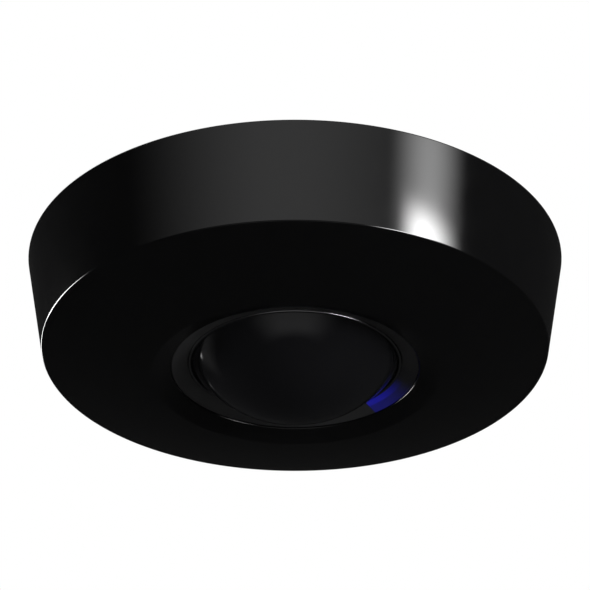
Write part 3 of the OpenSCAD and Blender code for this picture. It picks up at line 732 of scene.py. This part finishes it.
class Housing(Assembly):
    """The gloss black shell: tapered wall, crowned face and funnel, with its screw bosses inside."""

    def __init__(self, palette: Palette, sizes: HousingSizes) -> None:
        """Takes the palette and the shell's sizes.

        Args:
            palette: The finishes.
            sizes: The shell's fine sizes.
        """
        super().__init__(palette)
        self.sizes = sizes

    def crown(self, start: float, lift: float, edge: float, mouth: float) -> list[Corner]:
        """Returns the crowned face from its edge to the funnel's mouth.

        Args:
            start: The radius where it starts.
            lift: How far it is moved up.
            edge: The level of the edge.
            mouth: The level of the mouth.

        Returns:
            The corners, from the edge inwards.
        """
        s, made = self.sizes, []
        for i in range(s.crown_steps + 1):
            t = i / s.crown_steps
            r = start + (s.mouth_radius - start) * t
            made.append(Corner(r, edge + (mouth - edge) * t - 4.0 * s.crown * t * (1.0 - t) + lift))
        return made

    def shell(self) -> Solid:
        """Builds the turned shell without its bosses."""
        s = self.sizes
        low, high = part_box("housing_shell")
        outer, top, mouth = high.x, high.z, low.z
        edge_radius, edge = outer - s.taper, top - s.side
        funnel = mouth + s.funnel_depth
        ledge = mouth + s.ledge_rise
        outside = [Corner(outer - s.wall, top, s.back_inner_round), Corner(outer, top, s.back_round),
                   Corner(edge_radius, edge - 0.2 * s.edge_round, s.edge_round)]
        face = self.crown(edge_radius, 0.0, edge, mouth)[1:-1]
        inside = self.crown(edge_radius - s.wall, s.wall, edge, mouth)[:-1]
        inside.reverse()
        ring = [Corner(s.mouth_radius, mouth, s.mouth_round), Corner(s.ring_radius, funnel, s.lip_round),
                Corner(s.ring_radius, ledge, s.ledge_round), Corner(s.ledge_radius, ledge),
                Corner(s.ledge_radius + s.ledge_slope, mouth + s.wall)]
        outline = Profile([*outside, *face, *ring, *inside], arc_steps=8)
        return outline.turned("housing_shell_piece", segments=288)

    def build(self) -> None:
        """Builds the shell with its bosses and hands it over."""
        s = self.sizes
        shell = self.shell()
        low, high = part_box("housing_shell")
        led_low, led_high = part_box("led_board")
        posts, holes = [], []
        for i in range(4):
            a, b = math.radians(45.0 + 90.0 * i), math.radians(90.0 * i)
            x, y = s.boss_circle * math.cos(a), s.boss_circle * math.sin(a)
            posts.append(Workshop.post(x, y, s.boss_radius, s.boss_foot, s.boss_top, "boss"))
            holes.append(Workshop.post(x, y, s.screw_hole, s.screw_floor, high.z, "hole"))
            x, y = s.inner_boss_circle * math.cos(b), s.inner_boss_circle * math.sin(b)
            posts.append(Workshop.post(x, y, s.inner_boss_radius, low.z + s.inner_boss_root, led_low.z,
                                       "boss"))
            holes.append(Workshop.post(x, y, s.inner_hole, led_low.z - s.inner_hole_depth, led_high.z,
                                       "hole"))
        Workshop.combine(shell, posts, "UNION")
        Workshop.combine(shell, holes, "DIFFERENCE")
        self.hand_over(shell, "housing", "gloss_black", "housing_shell")


# ---- Rings and dome ----


@dataclass
class RingSizes:
    """Fine sizes of the rings round the dome and of the dome itself."""

    ring_radius: float = 27.35 * MM
    lip_radius: float = 23.75 * MM
    ring_rise: float = 1.25 * MM
    clamp_radius: float = 25.95 * MM
    ledge_rise: float = 1.7 * MM
    dome_radius: float = 22.85 * MM
    dome_rise: float = 11.9 * MM
    dome_wall: float = 1.6 * MM
    flange: float = 1.2 * MM
    status_start: float = 4.0
    status_sweep: float = 44.0
    edge: float = 0.12 * MM
    step_rise: float = 1.2 * MM
    lip_drop: float = 0.12 * MM
    lip_round: float = 0.4 * MM
    lip_flange: float = 0.8 * MM
    lip_slack: tuple[float, float] = (0.04 * MM, 0.05 * MM)
    skirt_step: float = 0.1 * MM
    dome_steps: int = 40


class Rings(Assembly):
    """Light ring, its lit stretch, the rounded lip and the dome."""

    def __init__(self, palette: Palette, sizes: RingSizes) -> None:
        """Takes the palette and the rings' sizes.

        Args:
            palette: The finishes.
            sizes: The rings' fine sizes.
        """
        super().__init__(palette)
        self.sizes = sizes

    def guide(self) -> Profile:
        """Returns the cross-section of the light guide."""
        s = self.sizes
        low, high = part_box("light_ring")
        out_z = low.z
        in_z = out_z + s.ring_rise
        return Profile([
            Corner(s.ring_radius, out_z, s.edge), Corner(s.lip_radius, in_z, s.edge),
            Corner(s.lip_radius, in_z + s.step_rise), Corner(s.clamp_radius, in_z + s.step_rise),
            Corner(s.clamp_radius, high.z, s.edge), Corner(high.x, high.z, s.edge),
            Corner(high.x, out_z + s.ledge_rise, s.edge), Corner(s.ring_radius, out_z + s.ledge_rise)], 3)

    def lip(self) -> Solid:
        """Builds the thin rounded lip with its flange."""
        s = self.sizes
        low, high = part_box("bezel_ring")
        inside = s.dome_radius + s.lip_slack[0]
        outside = s.lip_radius - s.lip_slack[1]
        flange_low, foot = high.z - s.lip_flange, low.z - s.lip_drop
        return Profile([
            Corner(inside, high.z, 0.05 * MM), Corner(high.x, high.z, 0.1 * MM),
            Corner(high.x, flange_low, 0.1 * MM), Corner(outside, flange_low),
            Corner(outside, foot, s.lip_round), Corner(inside, foot, s.lip_round),
        ], 10).turned("bezel_ring_piece", segments=256)

    def dome(self) -> Solid:
        """Builds the thin-walled dome with its skirt and flange."""
        s = self.sizes
        low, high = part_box("dome_window")
        apex, top = low.z, high.z
        ball = (s.dome_radius**2 + s.dome_rise**2) / (2.0 * s.dome_rise)
        centre = apex + ball
        skirt = s.dome_radius - s.skirt_step
        inner = skirt - s.dome_wall
        steps = s.dome_steps
        reach = math.asin(skirt / ball)
        outside = [Corner(ball * math.sin(reach * k / steps), centre - ball * math.cos(reach * k / steps))
                   for k in range(steps + 1)]
        thin = ball - s.dome_wall
        back = math.asin(inner / thin)
        inside = [Corner(thin * math.sin(back * k / steps), centre - thin * math.cos(back * k / steps))
                  for k in range(steps, -1, -1)]
        flange = [Corner(skirt, top - s.flange, 0.1 * MM), Corner(high.x, top - s.flange, 0.15 * MM),
                  Corner(high.x, top, 0.15 * MM), Corner(inner, top, 0.1 * MM)]
        return Profile([*outside, *flange, *inside], 3).turned("dome_window_piece", segments=192)

    def build(self) -> None:
        """Builds and hands over the rings and the dome."""
        s = self.sizes
        guide = self.guide()
        rest = guide.turned("light_ring_piece", s.status_start + s.status_sweep, 360.0 - s.status_sweep, 256)
        self.hand_over(rest, "housing", "ring_grey", "light_ring")
        lit = guide.turned("status_window_piece", s.status_start, s.status_sweep, 256)
        self.hand_over(lit, "housing", "status_blue", "status_window")
        self.hand_over(self.lip(), "housing", "gloss_black", "bezel_ring", finish="lip_black")
        self.hand_over(self.dome(), "housing", "dome_black", "dome_window")


# ---- Screws ----


@dataclass(frozen=True)
class ScrewSizes:
    """One set of screws: where they stand, how large they are and which way they point."""

    node: str
    body: str
    count: int
    circle: float
    turn: float
    shank: float
    head: float
    head_height: float
    countersunk: bool = True
    upward: bool = False


class Screws(Assembly):
    """Every set of screws on a circle, with hexagonal sockets and cut threads."""

    SETS = (
        ScrewSizes("base_screws", "housing", 4, 50.456 * MM, 45.0, 1.5 * MM, 3.0 * MM, 1.5 * MM),
        ScrewSizes("motor_base_screws", "housing", 3, 10.8 * MM, 30.0, 1.0 * MM, 2.0 * MM, 1.0 * MM),
        ScrewSizes("window_frame_screws", "housing", 4, 33.8 * MM, 0.0, 1.0 * MM, 1.9 * MM, 1.0 * MM,
                   countersunk=False),
        ScrewSizes("turntable_screws", "rotor", 3, 9.0 * MM, 60.0, 1.0 * MM, 2.0 * MM, 1.0 * MM, upward=True),
    )
    PITCH = 0.5 * MM
    BITE = 0.09 * MM
    WIRE = 1.15 * BITE
    RUN_OUT = 1.2
    LEAD_IN = 0.35 * PITCH

    def blank(self, recipe: Recipe, row: ScrewSizes, shank: Socket, length: float) -> Socket:
        """Makes a screw without its thread, its face at the origin and its tip below.

        Args:
            recipe: The set's tree.
            row: The set's sizes.
            shank: The shank's radius below the thread.
            length: How far the tip is from the face.

        Returns:
            The screw's geometry.
        """
        math_of = recipe.sheet.math
        head = recipe.size("Head radius", row.head)
        deep = recipe.size("Head height", row.head_height)
        cap = recipe.node("MeshCone", {"Vertices": 48, "Radius Top": head, "Depth": deep,
                                       "Radius Bottom": shank if row.countersunk else head})
        cap = recipe.node("Transform", {
            "Geometry": cap, "Translation": recipe.vector(z=math_of("MULTIPLY", deep, -1.0))})
        reach = length - 0.5 * row.head_height
        body = recipe.node("MeshCylinder", {"Vertices": 32, "Radius": shank, "Depth": reach})
        body = recipe.node("Transform", {"Geometry": body, "Translation": (0.0, 0.0, -length + reach / 2.0)})
        wrench = recipe.node("MeshCylinder", {"Vertices": 6, "Radius": 0.5 * row.head, "Depth": deep})
        sunk = math_of("MULTIPLY", math_of("MULTIPLY", deep, 0.5), 0.6)
        wrench = recipe.node("Transform", {"Geometry": wrench, "Translation": recipe.vector(z=sunk)})
        whole = recipe.sheet.add("GeometryNodeMeshBoolean", operation="UNION", solver="EXACT")
        for part in (cap, body):
            recipe.sheet.feed(part, whole.inputs[1])
        return recipe.node("MeshBoolean", {0: whole.outputs[0], 1: wrench}, operation="DIFFERENCE",
                           solver="EXACT")

    def one_set(self, row: ScrewSizes) -> Solid:
        """Builds a set of screws.

        Args:
            row: The set's sizes.

        Returns:
            The screws as one piece.
        """
        low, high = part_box(row.node)
        length = high.z - low.z
        recipe = Recipe(row.node + "_piece")
        shank = recipe.size("Shank radius", row.shank - self.BITE)
        blank = self.blank(recipe, row, shank, length)
        turns = (length - row.head_height) / self.PITCH - self.RUN_OUT
        coil = recipe.node("CurveSpiral", {"Resolution": 20, "Rotations": turns, "Start Radius": shank,
                                           "End Radius": shank, "Height": turns * self.PITCH})
        thread = recipe.node("Transform", {"Geometry": recipe.pipe(coil, self.WIRE, 6),
                                           "Translation": (0.0, 0.0, -length + self.LEAD_IN)})
        screw = recipe.joined(blank, thread)
        if row.upward:
            screw = recipe.node("Transform", {"Geometry": screw, "Rotation": (math.pi, 0.0, 0.0)})
        rings = recipe.ringed(
            screw, recipe.size("Count", row.count), recipe.size("Circle radius", row.circle),
            recipe.size("First angle", math.radians(row.turn)),
            recipe.size("Face level", low.z if row.upward else high.z))
        return recipe.made(rings, self.palette.material("screw_steel"))

    def build(self) -> None:
        """Builds and hands over every set."""
        for row in self.SETS:
            self.hand_over(self.one_set(row), row.body, "screw_steel", row.node)


# ---- Windings and coils ----


@dataclass
class WindingSizes:
    """Sizes of the windings on the stator's teeth."""

    teeth: int = 12
    start: float = 11.8 * MM
    end: float = 18.0 * MM
    width: float = 3.8 * MM
    wire: float = 0.46 * MM
    turns: int = 13
    corner: float = 0.75 * MM
    least_corner: float = 0.2 * MM
    layer_pitch: float = 0.9


@dataclass
class CoilSizes:
    """Sizes of a flat ring of wire that carries power across the gap."""

    inside: float = 22.9 * MM
    outside: float = 27.0 * MM
    wire: float = 0.68 * MM
    layers: int = 2


class Copper(Assembly):
    """The windings of the motor and the two rings of wire that face each other."""

    def windings(self, sizes: WindingSizes) -> Solid:
        """Winds every tooth with two layers of wire.

        Args:
            sizes: The windings' sizes.

        Returns:
            The windings as one piece.
        """
        low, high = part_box("stator_windings")
        recipe = Recipe("stator_windings_piece")
        tall = high.z - low.z
        wire = recipe.size("Wire radius", sizes.wire / 2.0)
        turns = recipe.size("Turns", sizes.turns)
        pitch = (sizes.end - sizes.start - sizes.wire) / (sizes.turns - 1)
        layers = []
        for layer in range(2):
            inset = sizes.wire * (0.5 + sizes.layer_pitch * layer)
            outline = recipe.node("CurvePrimitiveQuadrilateral", {
                "Width": tall - 2.0 * inset, "Height": sizes.width - 2.0 * inset})
            outline = recipe.node("FilletCurve", {
                "Curve": outline, "Count": 4, "Radius": max(sizes.corner - inset, sizes.least_corner)},
                mode="POLY")
            loop = recipe.pipe(outline, wire, 8)
            loop = recipe.node("Transform", {"Geometry": loop, "Rotation": (0.0, math.pi / 2.0, 0.0)})
            first = sizes.start + sizes.wire / 2.0
            rows = recipe.node("MeshLine", {
                "Count": turns, "Start Location": (first, 0.0, (low.z + high.z) / 2.0),
                "Offset": (pitch, 0.0, 0.0)})
            layers.append(recipe.node("InstanceOnPoints", {"Points": rows, "Instance": loop}))
        around = recipe.ringed(recipe.joined(*layers), recipe.size("Teeth", sizes.teeth), 0.0, 0.0, 0.0)
        return recipe.made(around, self.palette.material("copper_wire"))

    def coil(self, node: str, sizes: CoilSizes) -> Solid:
        """Winds one flat ring.

        Args:
            node: The CAD node that it stands for.
            sizes: The ring's sizes.

        Returns:
            The ring as one piece.
        """
        low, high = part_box(node)
        recipe = Recipe(node + "_piece")
        wire = recipe.size("Wire radius", sizes.wire / 2.0)
        inside = recipe.size("Inner radius", sizes.inside + sizes.wire / 2.0)
        outside = recipe.size("Outer radius", sizes.outside - sizes.wire / 2.0)
        turns = (sizes.outside - sizes.inside) / sizes.wire - 1.0
        spiral = recipe.node("CurveSpiral", {
            "Resolution": 96, "Rotations": turns, "Start Radius": inside, "End Radius": outside,
            "Height": 0.0})
        flat = recipe.pipe(spiral, wire, 10)
        gap = (high.z - low.z - sizes.wire) / (sizes.layers - 1)
        rows = recipe.node("MeshLine", {
            "Count": recipe.size("Layers", sizes.layers), "Offset": (0.0, 0.0, gap),
            "Start Location": (0.0, 0.0, low.z + sizes.wire / 2.0)})
        return recipe.made(recipe.node("InstanceOnPoints", {"Points": rows, "Instance": flat}),
                           self.palette.material("copper_wire"))

    def build(self) -> None:
        """Builds and hands over the windings and both rings."""
        self.hand_over(self.windings(WindingSizes()), "housing", "copper_wire", "stator_windings")
        for node, body in (("power_coil_fixed", "housing"), ("power_coil_rotor", "rotor")):
            self.hand_over(self.coil(node, CoilSizes()), body, "copper_wire", node)


# ---- Small parts on the circuit board ----


@dataclass
class SmallPartSizes:
    """Sizes of the small parts that stand on the underside of the main board."""

    inside: float = 30.5 * MM
    outside: float = 44.5 * MM
    spacing: float = 2.6 * MM
    density: float = 90000.0
    seed: int = 7
    body: tuple[float, float, float] = (0.9 * MM, 0.80 * MM, 0.48 * MM)
    ends: tuple[float, float, float] = (1.6 * MM, 0.76 * MM, 0.44 * MM)


class BoardParts(Assembly):
    """Rows of tiny resistors and capacitors under the main board."""

    def parts(self, name: str, size: Sequence[float], slot: str, sizes: SmallPartSizes) -> Solid:
        """Scatters one block of each part.

        Args:
            name: The new piece's name.
            size: The block's length, width and height.
            slot: Its finish.
            sizes: The sizes of the field of parts.

        Returns:
            The blocks as one piece.
        """
        low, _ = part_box("main_board")
        recipe = Recipe(name)
        outer = recipe.size("Outer radius", sizes.outside)
        ring = recipe.node("MeshCircle", {"Vertices": 96, "Radius": outer}, fill_type="NGON")
        scattered = recipe.sheet.add("GeometryNodeDistributePointsOnFaces", {
            "Mesh": ring, "Distance Min": recipe.size("Spacing", sizes.spacing), "Density Max": sizes.density,
            "Seed": recipe.size("Seed", sizes.seed)}, distribute_method="POISSON")
        place = recipe.sheet.add("ShaderNodeSeparateXYZ", {0: recipe.node("InputPosition")})
        reach = recipe.sheet.reach(place)
        near = recipe.sheet.math("LESS_THAN", reach, recipe.size("Inner radius", sizes.inside))
        kept = recipe.node("DeleteGeometry", {"Geometry": scattered.outputs[0], "Selection": near},
                           domain="POINT")
        block = recipe.node("MeshCube", {"Size": tuple(size)})
        quarter = recipe.sheet.math("MULTIPLY", recipe.sheet.math(
            "MODULO", recipe.node("InputIndex"), 2.0), math.pi / 2.0)
        facing = recipe.sheet.add("FunctionNodeEulerToRotation", {0: recipe.vector(z=quarter)}).outputs[0]
        spread = recipe.node("InstanceOnPoints", {"Points": kept, "Instance": block, "Rotation": facing})
        spread = recipe.node("Transform", {
            "Geometry": spread, "Translation": (0.0, 0.0, low.z - size[2] / 2.0)})
        return recipe.made(spread, self.palette.material(slot))

    def build(self) -> None:
        """Builds the bodies and the soldered ends of the parts."""
        sizes = SmallPartSizes()
        for name, size, slot in (("small_part_bodies", sizes.body, "chip_black"),
                                 ("small_part_ends", sizes.ends, "tinned_steel")):
            self.hand_over(self.parts(name, size, slot, sizes), "housing", slot)


# ---- Pieces with broken edges ----


class Machined(Assembly):
    """Pieces whose real edges are softly broken, each by its own width in millimetres."""

    BREAKS = {
        "mount_plate": 0.25, "rear_base": 0.20, "window_frame": 0.15, "led_board": 0.06, "main_board": 0.08,
        "head_board": 0.06, "motor_base": 0.15, "rotor_cup": 0.15, "turntable": 0.12, "optics_block": 0.20,
        "head_cover": 0.25, "shield_can": 0.20, "network_socket": 0.15, "network_transformer": 0.20,
        "processor": 0.08, "capacitors": 0.30, "inductors": 0.20, "balance_weight": 0.15,
        "receiver_barrel": 0.12, "emitter_barrel": 0.10, "stator_core": 0.05, "thermal_pad": 0.15,
    }

    def build(self) -> None:
        """Breaks the edges of each piece and hands it over."""
        record = frame["record"]
        slots = {row["node"]: row["material_slot"] for row in record["subparts"]}
        bodies = {node: body for body, nodes in record["behaviour"]["bodies"].items() for node in nodes}
        for node, width in self.BREAKS.items():
            self.hand_over(Workshop.refined(node, width * MM), bodies[node], slots[node], node)


# ---- Everything else, dressed as it is ----


class CarriedOver(Assembly):
    """CAD nodes whose shape is right: each keeps its mesh and takes its finish from the record's slot."""

    def build(self) -> None:
        """Dresses every node that is still shown."""
        for row in frame["record"]["subparts"]:
            node = frame["nodes"].get(row["node"])
            if node is None or node.hide_render:
                continue
            Workshop.dress(node, self.palette.material(row["material_slot"]))
            LOG.info("%s kept, finish %s", row["node"], row["material_slot"])


# ---- Studio ----


@dataclass(frozen=True)
class Glow:
    """A soft patch of light in the surroundings, by its azimuth and elevation in degrees.

    Each edge runs from its first angle, where the light is out, to its second, where it is full.
    """

    left: tuple[float, float]
    right: tuple[float, float]
    low: tuple[float, float]
    high: tuple[float, float]
    strength: float


class Studio:
    """White surroundings with soft lights, a pale floor and the camera."""

    BASE = 0.016
    GLOWS = (
        Glow((-165.0, -97.0), (-10.0, -92.0), (-4.0, 6.0), (34.0, 22.0), 0.75),
        Glow((-52.5, -34.0), (-14.5, -33.5), (-30.0, -21.0), (34.0, 20.0), 5.3),
        Glow((-48.0, -35.0), (-15.5, -35.0), (0.0, 8.0), (15.5, 11.0), 28.0),
        Glow((-155.0, -105.0), (-30.0, -78.0), (-66.0, -52.0), (-30.0, -42.0), 0.30),
        Glow((128.0, 145.0), (178.0, 160.0), (-26.0, -14.0), (4.0, -2.0), 0.11),
        Glow((112.0, 120.0), (160.0, 152.0), (2.0, 8.0), (18.0, 12.0), 14.0),
        Glow((136.0, 142.0), (174.0, 160.0), (-9.0, -3.0), (12.0, 6.0), 30.0),
        Glow((-60.0, -47.0), (-26.0, -37.0), (-27.0, -18.0), (2.0, -5.0), 30.0),
        Glow((-181.0, -180.5), (181.0, 180.5), (32.0, 60.0), (95.0, 91.0), 0.8),
    )

    def __init__(self, elevation: float = -30.28, distance: float = 681.6 * MM, lens: float = 186.0,
                 lift: float = 3.5 * MM) -> None:
        """Takes the camera's placing.

        Args:
            elevation: The camera's angle above the horizon, in degrees.
            distance: Its distance from the middle of the wall.
            lens: Its focal length in millimetres.
            lift: How far above the middle of the wall it aims.
        """
        self.elevation = math.radians(elevation)
        self.distance = distance
        self.lens = lens
        self.lift = lift

    def camera(self) -> None:
        """Builds the camera in front of the module and below it."""
        low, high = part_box("housing_shell")
        middle = Vector((0.0, 0.0, high.z - 11.3 * MM))
        back = Vector((0.0, -math.cos(self.elevation), math.sin(self.elevation)))
        up = Vector((0.0, math.sin(self.elevation), math.cos(self.elevation)))
        place = middle + back * self.distance
        aim = middle + up * self.lift
        data = bpy.data.cameras.new("camera")
        data.lens, data.sensor_width, data.clip_start, data.clip_end = self.lens, 36.0, 0.01, 20.0
        camera = bpy.data.objects.new("camera", data)
        camera.location = place
        camera.rotation_euler = (aim - place).to_track_quat("-Z", "Y").to_euler()
        bpy.context.scene.collection.objects.link(camera)
        bpy.context.scene.camera = camera

    def surroundings(self) -> None:
        """Builds the world: white behind the module, and soft patches of light for everything else."""
        world = bpy.data.worlds.new("studio")
        bpy.context.scene.world = world
        world.use_nodes = True
        world.node_tree.nodes.clear()
        sheet = NodeSheet(world.node_tree)
        way = sheet.add("ShaderNodeSeparateXYZ", {0: sheet.add("ShaderNodeTexCoord").outputs["Generated"]})
        azimuth = sheet.math("DEGREES", sheet.math("ARCTAN2", way.outputs[1], way.outputs[0]))
        elevation = sheet.math("DEGREES", sheet.math("ARCSINE", way.outputs[2]))
        total: object = self.BASE
        for glow in self.GLOWS:
            amount = sheet.smooth(azimuth, *glow.left, 0.0, glow.strength)
            for value, (out, full) in ((azimuth, glow.right), (elevation, glow.low), (elevation, glow.high)):
                rising = out < full
                edge = sheet.smooth(value, min(out, full), max(out, full), float(not rising), float(rising))
                amount = sheet.math("MULTIPLY", amount, edge)
            total = sheet.math("ADD", total, amount)
        seen = sheet.add("ShaderNodeLightPath").outputs["Is Camera Ray"]
        level = sheet.add("ShaderNodeMix", {0: seen, 2: total, 3: 1.0}).outputs[0]
        light = sheet.add("ShaderNodeBackground", {"Color": (1.0, 1.0, 1.0, 1.0), "Strength": level})
        sheet.feed(light.outputs[0], sheet.add("ShaderNodeOutputWorld").inputs[0])

    def floor(self) -> None:
        """Builds a plain pale floor well below the module."""
        mesh = bmesh.new()
        bmesh.ops.create_circle(mesh, cap_ends=True, segments=96, radius=4.0,
                                matrix=Matrix.Translation((0.0, 0.0, -1.4)))
        floor = Workshop.keep(mesh, "floor")
        Workshop.dress(floor, Finish("floor_white", (0.78, 0.78, 0.78), (0.82, 0.82, 0.82), (0.6, 0.7),
                                     pitch=40.0, relief=0.0).build())
        floor.visible_glossy = False

    def build(self) -> None:
        """Builds the studio and sets how its colours are shown."""
        self.camera()
        self.surroundings()
        self.floor()
        scene = bpy.context.scene
        scene.view_settings.view_transform = "Standard"
        scene.view_settings.look = "None"


def main() -> None:
    """Builds the module and the studio round it."""
    logging.basicConfig(level=logging.INFO, format="%(message)s")
    palette = Palette()
    Studio().build()
    Housing(palette, HousingSizes()).build()
    Rings(palette, RingSizes()).build()
    Screws(palette).build()
    Copper(palette).build()
    BoardParts(palette).build()
    Machined(palette).build()
    CarriedOver(palette).build()


if __name__ == "__main__":
    main()
